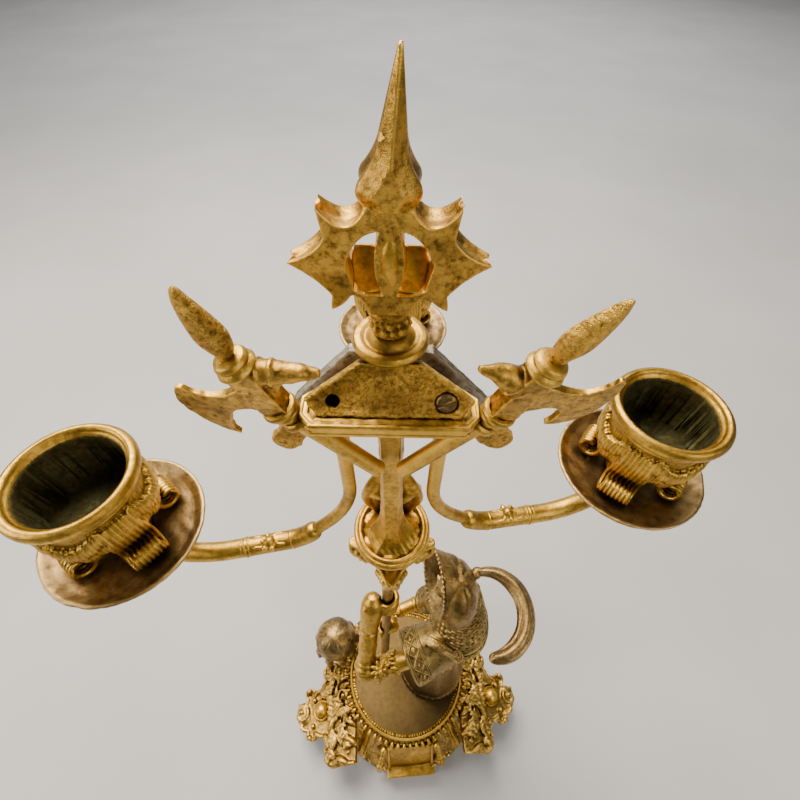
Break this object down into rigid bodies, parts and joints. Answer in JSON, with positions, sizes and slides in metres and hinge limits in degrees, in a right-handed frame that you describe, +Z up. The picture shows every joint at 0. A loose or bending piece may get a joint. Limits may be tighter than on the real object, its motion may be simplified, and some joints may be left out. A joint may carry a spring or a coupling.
{
  "type": "table candelabrum",
  "caption": "Gilt bronze figural candelabrum: a helmeted figure holds a lance that carries a trophy of halberds and three scrolling arms with lift-off candle cups.",
  "frame": {"origin": "on the foot plane, under the lance's head and the trophy post's axis", "axes": "+Z up, +X to the right and +Y away from the side with the cover panel and the base's front panel"},
  "size_m": [0.1849, 0.1641, 0.3713],
  "materials": {
    "gilt_bronze": "satin, worn",
    "brown_bronze": "browned",
    "steel": "dull"
  },
  "bodies": {
    "stand": {"arm_back": "gilt_bronze", "arm_collars": "gilt_bronze", "arm_left": "gilt_bronze", "arm_right": "gilt_bronze", "axe_head_left": "gilt_bronze", "axe_head_right": "gilt_bronze", "base_plinth": "gilt_bronze", "bead_ring": "gilt_bronze", "bottom_plate": "steel", "capital": "gilt_bronze", "cover_panel": "gilt_bronze", "crockets": "gilt_bronze", "drapery_knot": "gilt_bronze", "drip_pan_back": "brown_bronze", "drip_pan_left": "brown_bronze", "drip_pan_right": "brown_bronze", "elbow_guard": "gilt_bronze", "far_forearm": "gilt_bronze", "far_gauntlet": "gilt_bronze", "far_sleeve": "gilt_bronze", "figure_bolt": "steel", "finial": "gilt_bronze", "finial_dish": "gilt_bronze", "finial_stud": "steel", "front_panel": "gilt_bronze", "halberd_shaft_left": "gilt_bronze", "halberd_shaft_right": "gilt_bronze", "helmet": "brown_bronze", "helmet_brim": "brown_bronze", "helmet_plume": "gilt_bronze", "knight_belt": "gilt_bronze", "knight_head": "gilt_bronze", "knight_skirt": "gilt_bronze", "knight_torso": "gilt_bronze", "lance": "gilt_bronze", "leaf_bud": "brown_bronze", "mail_cape": "gilt_bronze", "near_forearm": "gilt_bronze", "near_gauntlet": "gilt_bronze", "near_sleeve": "gilt_bronze", "panel_screw": "steel", "platform_plate": "brown_bronze", "platform_rim": "gilt_bronze", "plinth_ribs": "gilt_bronze", "post": "gilt_bronze", "saucer": "gilt_bronze", "scroll_bosses": "gilt_bronze", "shield_plate": "gilt_bronze", "side_scroll_left": "gilt_bronze", "side_scroll_right": "gilt_bronze", "spear_left": "gilt_bronze", "spear_right": "gilt_bronze", "tie_rod": "steel", "tie_rod_nut": "steel", "tray": "gilt_bronze"},
    "cup_left": {"candle_cup_left": "gilt_bronze"},
    "cup_right": {"candle_cup_right": "gilt_bronze"},
    "cup_back": {"candle_cup_back": "gilt_bronze"}
  },
  "joints": [
    {"name": "cup_lift_left", "type": "slide", "parent": "stand", "child": "cup_left", "axis": [0, 0, 1], "range_m": [0, 0.03]},
    {"name": "cup_lift_right", "type": "slide", "parent": "stand", "child": "cup_right", "axis": [0, 0, 1], "range_m": [0, 0.03]},
    {"name": "cup_lift_back", "type": "slide", "parent": "stand", "child": "cup_back", "axis": [0, 0, 1], "range_m": [0, 0.03]}
  ]
}
